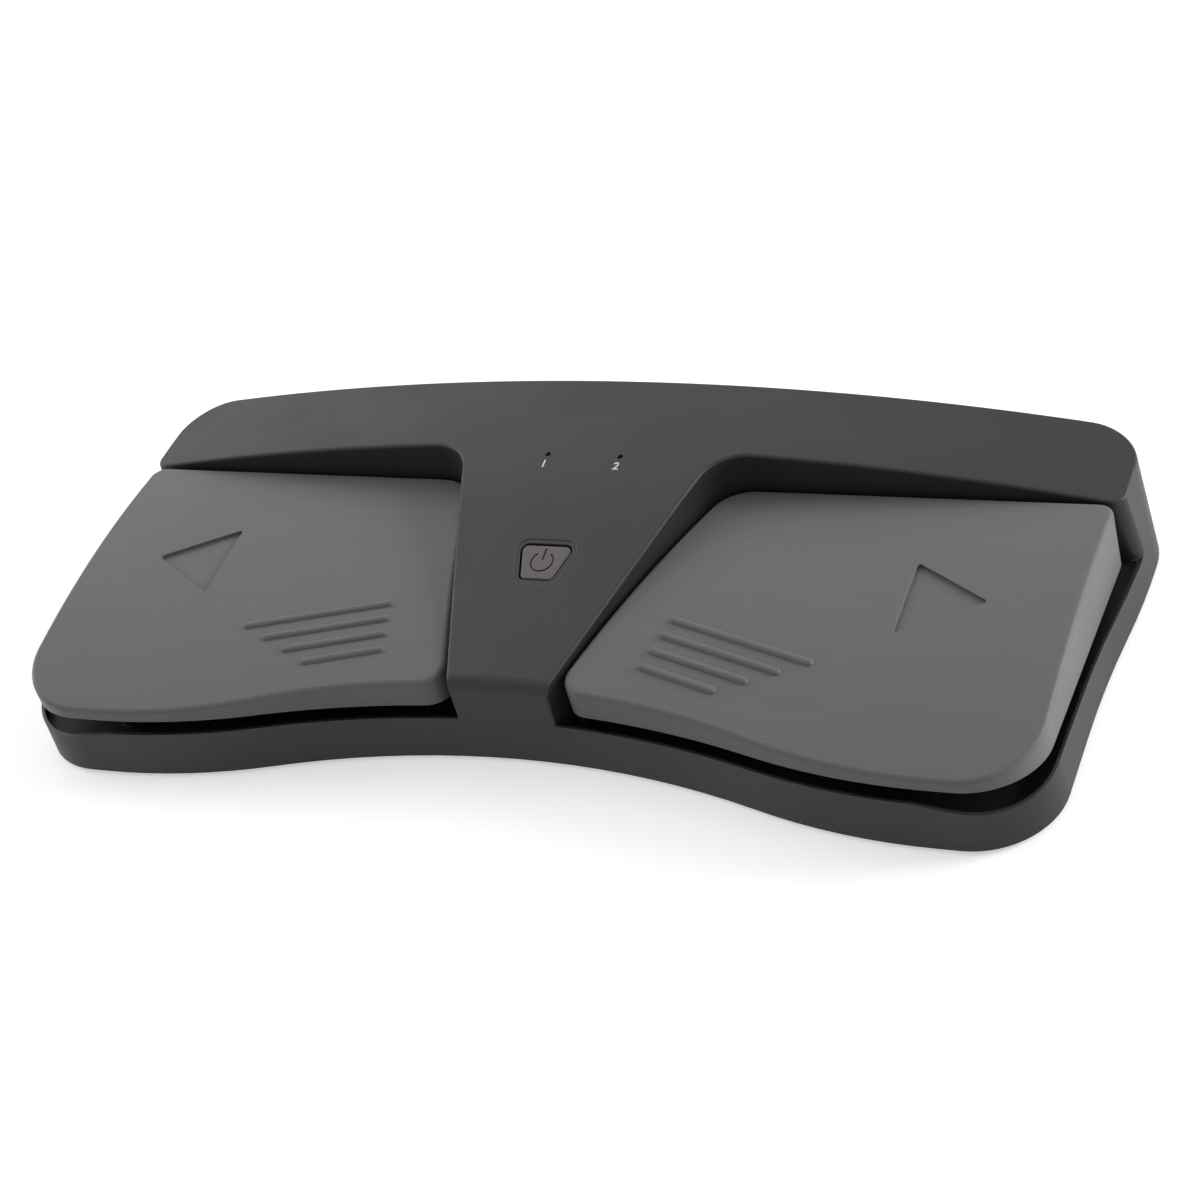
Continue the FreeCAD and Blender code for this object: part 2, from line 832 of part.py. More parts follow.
def arrow_pocket():
    """The shallow outward pointing triangle sunk in the tread's top."""
    wire = rounded_polygon([
        (arrow_base_x, arrow_rear_y, arrow_corner_radius),
        (arrow_base_x, arrow_front_y, arrow_corner_radius),
        (arrow_tip_x, (arrow_rear_y + arrow_front_y) / 2, arrow_corner_radius),
    ])
    return prism(wire, 0, high).cut(tread_envelope(arrow_depth))


def tread():
    """The right tread: a bowed wedge shell with hinge lugs, spring boss, stop ribs and switch post."""
    block = tread_plan(0)
    outer = block.common(tread_envelope(0))

    def is_top_edge(edge):
        faces = outer.ancestorsOfType(edge, Part.Face)
        if len(faces) != 2:
            return False
        lifts = [face.normalAt(*middle_of(face)).z for face in faces]
        return max(lifts) > top_lift and abs(min(lifts)) < wall_lift
    outer = round_edges(outer, tread_edge_radius, is_top_edge)
    inner = tread_plan(tread_wall).common(tread_envelope(tread_skin))
    shell = outer.cut(inner)
    parts = [shell]
    for x in (inner_lug_x, outer_lug_x):
        start = V(x - lug_thickness / 2, hinge_y, hinge_z)
        low = Part.makeCylinder(lug_radius, lug_thickness, start, V(1, 0, 0))
        web = box(x - lug_thickness / 2, hinge_y - lug_radius, hinge_z,
                  x + lug_thickness / 2, hinge_y + lug_radius, tread_top_z(hinge_y) - tread_skin / 2)
        parts.append(low.fuse(web))
    roof = tread_top_z(spring_y) - tread_skin / 2
    parts.append(rod(spring_x, spring_y, spring_seat_z, roof, spring_boss_radius))
    parts.append(rod(spring_x, spring_y, spring_seat_z - spring_stub_height, roof, spring_stub_radius))
    roof = tread_top_z(switch_y) - tread_skin / 2
    parts.append(rod(switch_x, switch_y, plunger_top + plunger_gap, roof, post_radius))
    bumper_top = well_floor_top + stop_post_height + bumper_height
    for x, y in stops:
        fall = (hinge_y - y) * math.sin(press_turn)
        roof = tread_top_z(y) - tread_skin / 2
        parts.append(rod(x, y, bumper_top + fall + stop_play, roof, stop_rib_radius))
    body = join(parts + tread_ribs())
    bore_start = inner_lug_x - lug_thickness
    bore_length = outer_lug_x - inner_lug_x + 2 * lug_thickness
    bore = Part.makeCylinder(pin_radius + pin_seat, bore_length, V(bore_start, hinge_y, hinge_z), V(1, 0, 0))
    return body.cut(bore).cut(arrow_pocket())


def hinge_pin():
    """The steel pin through a tread's two lugs."""
    start = inner_lug_x - lug_thickness / 2
    length = outer_lug_x - inner_lug_x + lug_thickness
    pin = Part.makeCylinder(pin_radius, length, V(start, hinge_y, hinge_z), V(1, 0, 0))
    return pin.makeChamfer(pin_radius / 4, [edge for edge in pin.Edges if len(edge.Vertexes) == 1])


def hinge_blocks():
    """The two bearing blocks on a well floor, each with a screw flange in front."""
    blocks = []
    for x in hinge_block_x:
        top = hinge_z + block_top_above_pin
        rear = hinge_y + block_depth / 2
        front = hinge_y - block_depth / 2
        body = box(x, front, block_floor, x + block_thickness, rear, hinge_z)
        crown = Part.makeCylinder(block_top_above_pin, block_thickness, V(x, hinge_y, hinge_z), V(1, 0, 0))
        flange = box(x, front - block_flange, block_floor,
                     x + block_thickness, front + weld, block_floor + block_flange_height)
        block = join([body, crown, flange])
        start = V(x - over, hinge_y, hinge_z)
        length = block_thickness + 2 * over
        block = block.cut(Part.makeCylinder(pin_radius + pin_clearance, length, start, V(1, 0, 0)))
        middle = x + block_thickness / 2
        hole_radius = screw_radius + screw_clearance
        block = block.cut(rod(middle, hinge_screw_y, block_floor - over, top, hole_radius))
        blocks.append(block)
    return Part.makeCompound(blocks)


def arc_from(start, heading, end):
    """The arc that leaves a start along a heading and reaches an end."""
    chord = end - start
    across = (chord - heading * chord.dot(heading)).normalize()
    radius = chord.dot(chord) / (2 * chord.dot(across))
    centre = start + across * radius
    middle = centre + (start + end - centre * 2).normalize() * radius
    return Part.Arc(start, middle, end).toShape()


def coil_path(x, y, low, rise, radius):
    """A rising coil as pairs of tangent arcs, four pairs to a turn."""
    slope = rise / spring_turns / (2 * math.pi)

    def point(turn):
        return V(x + radius * math.cos(turn), y + radius * math.sin(turn), low + slope * turn)

    def heading(turn):
        return V(-radius * math.sin(turn), radius * math.cos(turn), slope).normalize()
    edges = []
    quarters = int(4 * spring_turns)
    for i in range(quarters):
        here = i * math.pi / 2
        there = here + math.pi / 2
        chord = point(there) - point(here)
        both = heading(here) + heading(there)
        spread = 2 * (1 - heading(here).dot(heading(there)))
        reach = (math.sqrt(chord.dot(both) ** 2 + spread * chord.dot(chord)) - chord.dot(both)) / spread
        meeting = (point(here) + point(there) + (heading(here) - heading(there)) * reach) * 0.5
        edges.append(arc_from(point(here), heading(here), meeting))
        onward = (point(there) - heading(there) * reach - meeting).normalize()
        edges.append(arc_from(meeting, onward, point(there)))
    return Part.Wire(edges), point(0), heading(0)


def return_spring():
    """A coil spring between the well floor and the tread's boss."""
    wire_radius = spring_wire / 2
    low = well_floor_top + wire_radius + spring_foot_gap
    rise = spring_seat_z - spring_head_gap - wire_radius - low
    path, start, heading = coil_path(spring_x, spring_y, low, rise, spring_outer_radius - wire_radius)
    circle = Part.makeCircle(wire_radius, start, heading)
    print("least gap between the spring's turns", round(rise / spring_turns - spring_wire, 2))
    return path.makePipeShell([Part.Wire([circle])], True, False)


def bumpers():
    """The two soft stops under a tread."""
    pads = []
    for x, y in stops:
        low = well_floor_top + stop_post_height
        pad = rod(x, y, low, low + bumper_height, bumper_radius)
        upper = [edge for edge in pad.Edges if edge.BoundBox.ZMin > low + bumper_height / 2]
        pads.append(pad.makeFillet(bumper_edge_radius, upper))
    return Part.makeCompound(pads)


def switch_body():
    """The square body of a tread's switch."""
    half = switch_size / 2
    body = box(switch_x - half, switch_y - half, switch_board_bottom + switch_board_thickness,
               switch_x + half, switch_y + half, switch_top)
    low = plunger_bottom - switch_arm * press_turn - plunger_end_gap
    return body.cut(rod(switch_x, switch_y, low, switch_top + over, plunger_radius + plunger_clearance))


def switch_plunger():
    """The moving stem of a tread's switch."""
    stem = rod(switch_x, switch_y, plunger_bottom, plunger_top, plunger_radius)
    upper = [edge for edge in stem.Edges if edge.BoundBox.ZMin > plunger_top - plunger_edge_radius]
    return stem.makeFillet(plunger_edge_radius, upper)


def switch_board():
    """The small board under a well floor that carries the switch."""
    return box(switch_x - switch_board_width / 2, switch_y - switch_board_length / 2, switch_board_bottom,
               switch_x + switch_board_width / 2, switch_y + switch_board_length / 2,
               switch_board_bottom + switch_board_thickness)


def main_board():
    """The T shaped main board across the band and down the island."""
    wide = box(-main_board_half_width, main_board_front_y, main_board_bottom,
               main_board_half_width, main_board_rear_y, board_top)
    tongue = box(-tongue_half_width, tongue_front_y, main_board_bottom,
                 tongue_half_width, main_board_front_y + weld, board_top)
    board = join([wide, tongue])
    hole_radius = screw_radius + screw_clearance
    for x, y in board_screws_at:
        board = board.cut(rod(x, y, main_board_bottom - over, board_top + over, hole_radius))
    return board


def radio_module():
    """The screened radio module on its own little board."""
    low = board_top
    high_x = module_x + module_length
    high_y = module_y + module_width
    top = low + module_board_thickness
    plate = box(module_x, module_y, low, high_x, high_y, top)
    can = box(module_x + module_can_margin, module_y + module_can_margin, top,
              high_x - module_aerial, high_y - module_can_margin, top + module_can_height)
    return join([plate, can])


def lead_sockets():
    """The two small board sockets that take the switch leads."""
    return both_sides(box(lead_socket_x, lead_socket_y, board_top, lead_socket_x + lead_socket_length,
                          lead_socket_y + lead_socket_width, board_top + lead_socket_height))


def battery_socket():
    """The board socket that takes the battery leads."""
    return box(-lead_socket_x - lead_socket_length, battery_socket_y, board_top, -lead_socket_x,
               battery_socket_y + lead_socket_width, board_top + lead_socket_height)


def lead(points, radius, bend):
    """A round lead along straight runs joined by tangent arcs."""
    edges = []
    here = points[0]
    for i in range(1, len(points) - 1):
        corner = points[i]
        back = (points[i - 1] - corner).normalize()
        ahead = (points[i + 1] - corner).normalize()
        half = back.getAngle(ahead) / 2
        reach = bend / math.tan(half)
        start = corner + back * reach
        end = corner + ahead * reach
        middle = corner + (back + ahead).normalize() * (bend / math.sin(half) - bend)
        edges.append(Part.LineSegment(here, start).toShape())
        edges.append(Part.Arc(start, middle, end).toShape())
        here = end
    edges.append(Part.LineSegment(here, points[-1]).toShape())
    circle = Part.makeCircle(radius, points[0], points[1] - points[0])
    return Part.Wire(edges).makePipeShell([Part.Wire([circle])], True, True)


def switch_lead():
    """The lead from a switch board, under the well floor, up into the band and over the main board."""
    low = switch_board_bottom + switch_board_thickness / 2
    up = board_top + lead_rise
    start_y = switch_y + switch_board_length / 2
    middle_x = lead_turn_x + lead_run
    points = [
        V(switch_x, start_y, low),
        V(switch_x, lead_channel_y, low),
        V(switch_x, lead_channel_y, up),
        V(middle_x, lead_channel_y, up),
        V(lead_turn_x, lead_socket_y + lead_socket_width / 2, up),
        V(lead_socket_x + lead_socket_length, lead_socket_y + lead_socket_width / 2, up),
    ]
    return lead(points, lead_radius, lead_bend)


def battery_leads():
    """The two leads from the battery to its socket."""
    leads = []
    start_x = battery_x + battery_length / 2
    end_x = -lead_socket_x - lead_socket_length
    up = board_top + lead_rise
    low = base_top + battery_pad_thickness + battery_height - battery_lead_drop
    middle = battery_socket_y + lead_socket_width / 2
    for y in (middle - lead_pitch / 2, middle + lead_pitch / 2):
        points = [
            V(start_x, y, low), V(start_x + battery_lead_run, y, low),
            V(start_x + 2 * battery_lead_run, y, up), V(end_x, y, up),
        ]
        leads.append(lead(points, lead_radius, lead_bend / 2))
    return Part.makeCompound(leads)


def battery():
    """The flat battery pack."""
    half_x = battery_length / 2
    half_y = battery_width / 2
    low = base_top + battery_pad_thickness
    pack = box(battery_x - half_x, battery_y - half_y, low,
               battery_x + half_x, battery_y + half_y, low + battery_height)

    def runs_long(edge):
        return abs(edge.Vertexes[0].Point.x - edge.Vertexes[-1].Point.x) > over
    return round_edges(pack, battery_edge_radius, runs_long)


def battery_pad():
    """The foam strip that the battery lies on."""
    half_x = battery_length / 2 - battery_pad_margin
    half_y = battery_width / 2 - battery_pad_margin
    return box(battery_x - half_x, battery_y - half_y, base_top, battery_x + half_x, battery_y + half_y,
               base_top + battery_pad_thickness)


def power_button():
    """The sliding button cap with its flange, post and sunken power symbol."""
    flange_top = surface_z(button_y - button_depth / 2) - button_flange_drop
    flange_bottom = flange_top - button_flange_height
    cap = prism(button_wire(0), flange_bottom, high).common(top_envelope(button_sink))

    def is_top_edge(edge):
        faces = cap.ancestorsOfType(edge, Part.Face)
        lifts = [face.normalAt(*middle_of(face)).z for face in faces]
        return max(lifts) > top_lift and abs(min(lifts)) < wall_lift
    cap = round_edges(cap, button_edge_radius, is_top_edge)
    flange = prism(button_wire(-button_gap - button_flange), flange_bottom, flange_top)
    post_low = board_top + power_switch_height + power_plunger_rise + seat_clearance
    post = rod(0, button_y, post_low, flange_bottom + weld, button_post_radius)
    cap = join([cap, flange, post])
    return cap.cut(power_symbol())


def power_symbol():
    """The sunken ring with a gap at the rear and an upright stroke in it."""
    outer = power_symbol_radius + power_symbol_stroke / 2
    inner = power_symbol_radius - power_symbol_stroke / 2
    middle = button_y + power_symbol_shift
    ring = rod(0, middle, 0, high, outer).cut(rod(0, middle, 0, high, inner))
    ring = ring.cut(box(-power_symbol_gap / 2, middle, 0, power_symbol_gap / 2, middle + outer + over, high))
    half = power_symbol_stroke / 2
    stroke = box(-half, middle + power_stroke_start, 0, half, middle + power_stroke_end, high)
    return Part.makeCompound([ring, stroke]).cut(top_envelope(button_sink + power_symbol_depth))


def power_switch():
    """The push switch body under the power button."""
    half = switch_size / 2
    top = board_top + power_switch_height
    body = box(-half, button_y - half, board_top, half, button_y + half, top)
    low = top - power_plunger_depth - button_travel - plunger_end_gap
    return body.cut(rod(0, button_y, low, top + over, power_plunger_radius + plunger_clearance))


def power_switch_plunger():
    """The moving stem of the push switch."""
    top = board_top + power_switch_height
    return rod(0, button_y, top - power_plunger_depth, top + power_plunger_rise, power_plunger_radius)


def indicator_lamps():
    """The two surface lamps on the board."""
    half = lamp_size / 2
    return both_sides(box(lamp_x - half, lamp_y - half, board_top,
                          lamp_x + half, lamp_y + half, board_top + lamp_height))


def light_pipes():
    """The clear rods that carry the lamps' light to the two pin holes."""
    low = board_top + lamp_height + pipe_lamp_gap
    foot_top = surface_z(lamp_y) - wall - 3 * pipe_clearance
    foot = rod(lamp_x, lamp_y, low, foot_top, pipe_foot_radius)
    tip_top = surface_z(lamp_y) - pipe_recess
    tip = rod(lamp_x, lamp_y, foot_top - weld, tip_top, lamp_hole_radius - pipe_clearance)
    return both_sides(join([foot, tip]))


def charging_socket():
    """The metal shell of the charging socket with its contact tongue."""
    front = socket_outer_y - socket_length
    shell = socket_block(0, front, socket_outer_y)
    hollow = socket_block(-socket_shell, front + socket_back, socket_outer_y + over)
    middle = (socket_z0 + socket_z1) / 2
    half_x = socket_width / 2 - socket_tongue_inset
    half_z = socket_tongue_thickness / 2
    tongue = box(socket_x - half_x, front + socket_back - weld, middle - half_z,
                 socket_x + half_x, socket_outer_y - socket_tongue_inset, middle + half_z)
    return join([shell.cut(hollow), tongue])


def base_screws():
    """The countersunk screws that close the base."""
    screws = []
    for x, y in base_screws_at:
        shank = rod(x, y, body_bottom + screw_head_height / 2, body_bottom + base_screw_length, screw_radius)
        drive = cross_slot(x, y, body_bottom, 1)
        screws.append(join([screw_cone(x, y, 0), shank]).cut(drive))
    return Part.makeCompound(screws)


def cross_slot(x, y, z, up):
    """A cross recess cut into a screw head from its outer face."""
    low = min(z - over * up, z + recess_depth * up)
    top = max(z - over * up, z + recess_depth * up)
    half = recess_length / 2
    thin = recess_width / 2
    bar = box(x - half, y - thin, low, x + half, y + thin, top)
    other = box(x - thin, y - half, low, x + thin, y + half, top)
    return bar.fuse(other)


def pan_screw(x, y, seat, length):
    """A pan head screw whose head sits on a seat height."""
    head = rod(x, y, seat, seat + pan_head_height, pan_head_radius)
    upper = [edge for edge in head.Edges if edge.BoundBox.ZMin > seat + pan_head_height / 2]
    head = head.makeFillet(pan_edge_radius, upper)
    shank = rod(x, y, seat - length, seat + pan_head_height / 2, screw_radius)
    return join([head, shank]).cut(cross_slot(x, y, seat + pan_head_height, -1))


def board_screws():
    """The screws that hold the main board."""
    return Part.makeCompound([pan_screw(x, y, board_top, board_screw_length) for x, y in board_screws_at])


def hinge_screws():
    """The screws that hold the bearing blocks."""
    screws = []
    for x in hinge_block_x:
        for side in (1, -1):
            screws.append(pan_screw(side * (x + block_thickness / 2), hinge_screw_y,
                                    block_floor + block_flange_height, hinge_screw_length))
    return Part.makeCompound(screws)


def save(name, shape):
    """Write one node."""
    shape.exportStep("parts/" + name + ".step")
    print(name, len(shape.Solids), round(shape.Volume, 2), shape.isValid())


def save_pair(name, shape):
    """Write a right hand node and its mirror image."""
    save("right_" + name, shape)
    save("left_" + name, mirror(shape))


save("top_housing", top_housing())
save("base_plate", base_plate())
save_pair("tread", tread())
save_pair("hinge_pin", hinge_pin())
save_pair("hinge_blocks", hinge_blocks())
save_pair("return_spring", return_spring())
save_pair("bumpers", bumpers())
save_pair("switch_body", switch_body())
save_pair("switch_plunger", switch_plunger())
save_pair("switch_board", switch_board())
save_pair("switch_lead", switch_lead())
save("main_board", main_board())
save("radio_module", radio_module())
save("lead_sockets", lead_sockets())
save("battery_socket", battery_socket())
save("battery_leads", battery_leads())
save("battery", battery())
save("battery_pad", battery_pad())
save("power_button", power_button())
save("power_switch", power_switch())
save("power_switch_plunger", power_switch_plunger())
save("indicator_lamps", indicator_lamps())
save("light_pipes", light_pipes())
save("charging_socket", charging_socket())
save("base_screws", base_screws())
save("board_screws", board_screws())
save("hinge_screws", hinge_screws())
save("feet", Part.makeCompound(foot_blocks(pad_recess, 0)))
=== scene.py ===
import bpy
import json
import math
from mathutils import Matrix, Vector
from mathutils.bvhtree import BVHTree


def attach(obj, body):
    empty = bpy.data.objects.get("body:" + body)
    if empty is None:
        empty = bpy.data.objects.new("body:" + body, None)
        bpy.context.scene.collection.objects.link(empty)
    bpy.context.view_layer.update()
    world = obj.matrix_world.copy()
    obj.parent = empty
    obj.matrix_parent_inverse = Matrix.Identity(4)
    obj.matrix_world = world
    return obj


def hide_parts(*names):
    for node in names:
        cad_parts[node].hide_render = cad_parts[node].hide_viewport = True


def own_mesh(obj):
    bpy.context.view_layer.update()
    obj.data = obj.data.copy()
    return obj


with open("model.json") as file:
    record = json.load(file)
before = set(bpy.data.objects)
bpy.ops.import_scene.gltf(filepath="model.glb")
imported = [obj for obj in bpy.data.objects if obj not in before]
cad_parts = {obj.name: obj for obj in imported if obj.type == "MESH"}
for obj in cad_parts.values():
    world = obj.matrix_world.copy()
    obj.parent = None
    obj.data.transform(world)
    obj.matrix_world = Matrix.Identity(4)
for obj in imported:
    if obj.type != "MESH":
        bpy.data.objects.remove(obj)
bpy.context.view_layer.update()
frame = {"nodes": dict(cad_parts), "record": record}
nodes = frame["nodes"]

MM = 0.001

# Camera, with its own right, up and back directions
CAMERA_PLACE = Vector((0.2483, -0.3904, 0.3715))
CAMERA_RIGHT = Vector((0.90886, 0.34308, -0.23727))
CAMERA_UP = Vector((-0.05238, 0.65819, 0.75104))
CAMERA_BACK = Vector((0.41383, -0.67015, 0.61616))
CAMERA_LENS = 81.01
CAMERA_SENSOR = 36
CAMERA_NEAR = 0.01
CAMERA_FAR = 20

# How far round a sharp edge the shading softens
EDGE_SOFTNESS = 0.3 * MM

# Rays that a softened edge and a shaded groove are sampled with
SHADING_SAMPLES = 6

# Grained plastics, each with its colour, roughness, grain, grain's depth and lightness of the
# highlight painted on sharp edges
GRAINED_PLASTICS = {
    "housing_shell": ((0.0135, 0.0142, 0.0128), 0.5, 2600.0, 0.035 * MM, 5.0),
    "base_cover": ((0.02, 0.021, 0.0205), 0.58, 1800.0, 0.06 * MM, 1.5),
}

# Smooth plastics, each with its colour, its roughness and, where it shows more, its speckle
SMOOTH_PLASTICS = {
    "bearing_plastic": ((0.66, 0.66, 0.62), 0.42),
    "white_plastic": ((0.74, 0.73, 0.68), 0.4),
    "switch_plastic": ((0.03, 0.03, 0.031), 0.5, 0.1),
    "plunger_plastic": ((0.5, 0.09, 0.055), 0.42),
    "lamp_white": ((0.78, 0.77, 0.66), 0.35),
    "lead_red": ((0.42, 0.035, 0.025), 0.38),
    "lead_grey": ((0.18, 0.18, 0.18), 0.4),
}

# Metals, each with its colour, its roughness and the scale of its streaks along each axis
METALS = {
    "steel": ((0.6, 0.6, 0.61), 0.3, (300.0, 300.0, 3000.0)),
    "spring_steel": ((0.52, 0.52, 0.53), 0.32, (2500.0, 2500.0, 600.0)),
    "shield_metal": ((0.66, 0.66, 0.65), 0.34, (80.0, 2200.0, 2200.0)),
}

# Figures beside the lamp holes, each with its piece's name, its text and its place across
FIGURES = (("figure_1", "1", -8.65 * MM), ("figure_2", "2", 8.65 * MM))
FIGURE_Y = 20.4 * MM
FIGURE_HEIGHT = 2.1 * MM
FIGURE_HEIGHT_IN_FONT = 0.7
FIGURE_BOLDER = 0.05 * MM
FIGURE_CURVE_STEPS = 6
FIGURE_LIFT = 0.03 * MM
FIGURE_DROP_HEIGHT = 60 * MM

# Surroundings
WORLD_LIGHT = 0.25
FLOOR_GLOW = 0.5
FLOOR_REACH = 1.0

# Lamps, each with its name, its turn leftwards from the rear, its lift, its size and its power
LAMP_DISTANCE = 1.4
LAMPS = (
    ("back_left", 55, 30, 0.8, 1.75),
    ("back", 30, 52, 0.9, 1.45),
    ("left", 85, 22, 0.7, 5.0),
    ("top", 0, 88, 1.2, 2.5),
    ("right", -65, 18, 0.7, 16.5),
)


def camera():
    """The camera at the photograph's place, turn and lens."""
    data = bpy.data.cameras.new("camera")
    data.sensor_width = CAMERA_SENSOR
    data.sensor_height = CAMERA_SENSOR
    data.lens = CAMERA_LENS
    data.clip_start = CAMERA_NEAR
    data.clip_end = CAMERA_FAR
    eye = bpy.data.objects.new("camera", data)
    turn = Matrix((CAMERA_RIGHT, CAMERA_UP, CAMERA_BACK)).transposed()
    eye.matrix_world = Matrix.Translation(CAMERA_PLACE) @ turn.to_4x4()
    bpy.context.scene.collection.objects.link(eye)
    bpy.context.scene.camera = eye


class Shader:
    """A node material built a node at a time."""

    def __init__(self, name):
        self.material = bpy.data.materials.new(name)
        self.material.use_nodes = True
        self.tree = self.material.node_tree
        self.principled = self.tree.nodes["Principled BSDF"]
        self.coordinates = self.add("ShaderNodeTexCoord").outputs["Object"]

    def add(self, kind, **settings):
        """A new node with these settings."""
        node = self.tree.nodes.new(kind)
        for key, value in settings.items():
            setattr(node, key, value)
        return node

    def link(self, source, target):
        """Joins an output to an input."""
        self.tree.links.new(source, target)

    def set(self, **values):
        """Constants of the main shader, with underscores for the spaces in their names."""
        for key, value in values.items():
            self.principled.inputs[key.replace("_", " ")].default_value = value

    def stretched(self, scale):
        """The object's coordinates, scaled along each axis."""
        mapping = self.add("ShaderNodeMapping")
        mapping.inputs["Scale"].default_value = scale
        self.link(self.coordinates, mapping.inputs["Vector"])
        return mapping.outputs["Vector"]

    def noise(self, scale, detail=2.0, rough=0.5, vector=None):
        """Cloudy noise around one half."""
        node = self.add("ShaderNodeTexNoise")
        node.inputs["Scale"].default_value = scale
        node.inputs["Detail"].default_value = detail
        node.inputs["Roughness"].default_value = rough
        self.link(vector or self.coordinates, node.inputs["Vector"])
        return node.outputs["Fac"]

    def cells(self, scale):
        """The distance to the nearest point of a scattered set."""
        node = self.add("ShaderNodeTexVoronoi")
        node.inputs["Scale"].default_value = scale
        self.link(self.coordinates, node.inputs["Vector"])
        return node.outputs["Distance"]

    def ramp(self, source, stops):
        """A colour for each level of the source, from pairs of a level and a colour."""
        node = self.add("ShaderNodeValToRGB")
        elements = node.color_ramp.elements
        elements[0].position, elements[0].color = stops[0]
        elements[1].position, elements[1].color = stops[-1]
        for place, color in stops[1:-1]:
            elements.new(place).color = color
        self.link(source, node.inputs["Fac"])
        return node.outputs["Color"]

    def spread(self, source, low, high, low_in=0.3, high_in=0.7):
        """The source's levels, clamped and moved to a range of numbers."""
        node = self.add("ShaderNodeMapRange")
        node.inputs["From Min"].default_value = low_in
        node.inputs["From Max"].default_value = high_in
        node.inputs["To Min"].default_value = low
        node.inputs["To Max"].default_value = high
        self.link(source, node.inputs["Value"])
        return node.outputs["Result"]

    def soft_edges(self):
        """A normal that rounds sharp edges a little, so that they catch the light."""
        node = self.add("ShaderNodeBevel", samples=SHADING_SAMPLES)
        node.inputs["Radius"].default_value = EDGE_SOFTNESS
        return node.outputs["Normal"]

    def painted_edge_highlight(self, base, soft, factor):
        """The base colour made lighter at the sharp edges, a painted highlight."""
        turn = self.add("ShaderNodeVectorMath", operation="DOT_PRODUCT")
        self.link(soft, turn.inputs[0])
        self.link(self.add("ShaderNodeNewGeometry").outputs["True Normal"], turn.inputs[1])
        return self.scaled(base, self.spread(turn.outputs["Value"], factor, 1.0, 0.88, 0.99))

    def painted_groove_shade(self, base, reach, dark):
        """The base colour made darker down in narrow grooves, a painted shade."""
        shut = self.add("ShaderNodeAmbientOcclusion", samples=SHADING_SAMPLES, only_local=True)
        shut.inputs["Distance"].default_value = reach
        return self.scaled(base, self.spread(shut.outputs["AO"], dark, 1.0, 0.5, 0.95))

    def scaled(self, base, scale):
        """A colour multiplied by a number."""
        node = self.add("ShaderNodeVectorMath", operation="SCALE")
        self.link(base, node.inputs[0])
        self.link(scale, node.inputs["Scale"])
        return node.outputs["Vector"]

    def bump(self, source, strength, distance, normal=None):
        """A normal with the source's levels as small heights."""
        node = self.add("ShaderNodeBump")
        node.inputs["Strength"].default_value = strength
        node.inputs["Distance"].default_value = distance
        self.link(source, node.inputs["Height"])
        if normal is not None:
            self.link(normal, node.inputs["Normal"])
        return node.outputs["Normal"]

    def finish(self, color=None, roughness=None, normal=None):
        """The material, with what is given joined to the main shader."""
        if color is not None:
            self.link(color, self.principled.inputs["Base Color"])
        if roughness is not None:
            self.link(roughness, self.principled.inputs["Roughness"])
        if normal is not None:
            self.link(normal, self.principled.inputs["Normal"])
        return self.material


def shade(color, factor):
    """A colour made lighter or darker, with full alpha."""
    return tuple(level * factor for level in color) + (1.0,)


def shades(color, *steps):
    """Stops of a colour ramp, from pairs of a level and the colour's factor there."""
    return [(level, shade(color, factor)) for level, factor in steps]


def grained_plastic(name, color, rough, grain, depth, highlight_lift):
    """Moulded plastic with a fine spark-eroded grain."""
    s = Shader(name)
    s.set(Specular_IOR_Level=0.4)
    broad = s.noise(38.0, 3.0)
    fine = s.noise(grain, 3.0, 0.65)
    base = s.ramp(fine, shades(color, (0.3, 0.9), (0.5, 1.0), (0.72, 1.1)))
    roughness = s.spread(broad, rough - 0.04, rough + 0.04)
    soft = s.soft_edges()
    # Painted highlight on the sharp edges.
    return s.finish(s.painted_edge_highlight(base, soft, highlight_lift), roughness, s.bump(fine, 0.5, depth, soft))


def button_plastic():
    """The power button's satin plastic, with painted shade in the recessed symbol."""
    s = Shader("button_plastic")
    s.set(Specular_IOR_Level=0.3)
    fine = s.noise(2600.0, 3.0, 0.65)
    base = s.ramp(fine, shades((0.135, 0.122, 0.12), (0.3, 0.96), (0.7, 1.04)))
    # Painted shade down in the symbol's groove.
    symbol_shaded = s.painted_groove_shade(base, 0.6 * MM, 0.1)
    return s.finish(symbol_shaded, s.spread(fine, 0.42, 0.5), s.bump(fine, 0.5, 0.015 * MM))


def tread_plastic():
    """Grey moulded plastic with faint tool lines along the tread."""
    s = Shader("tread_plastic")
    s.set(Specular_IOR_Level=0.25)
    lines = s.noise(1.0, 3.0, 0.6, s.stretched((26.0, 1500.0, 500.0)))
    fine = s.noise(2600.0, 2.0, 0.6)
    broad = s.noise(30.0, 2.0)
    base = s.ramp(lines, shades((0.158, 0.152, 0.150), (0.3, 0.965), (0.5, 1.0), (0.7, 1.035)))
    soft = s.soft_edges()
    # Painted highlight on the sharp edges and painted shade down in the grooves.
    painted_light_and_shade = s.painted_groove_shade(s.painted_edge_highlight(base, soft, 1.4), 0.8 * MM, 0.7)
    normal = s.bump(fine, 0.22, 0.02 * MM, s.bump(lines, 0.3, 0.02 * MM, soft))
    return s.finish(painted_light_and_shade, s.spread(broad, 0.44, 0.52), normal)


def bumper_rubber():
    """Matt rubber with a soft cloudy surface."""
    s = Shader("bumper_rubber")
    s.set(Specular_IOR_Level=0.3)
    cloud = s.noise(220.0, 4.0)
    fine = s.noise(4200.0, 2.0)
    base = s.ramp(cloud, shades((0.04, 0.04, 0.04), (0.3, 0.85), (0.7, 1.25)))
    return s.finish(base, s.spread(cloud, 0.72, 0.9), s.bump(fine, 0.5, 0.03 * MM))


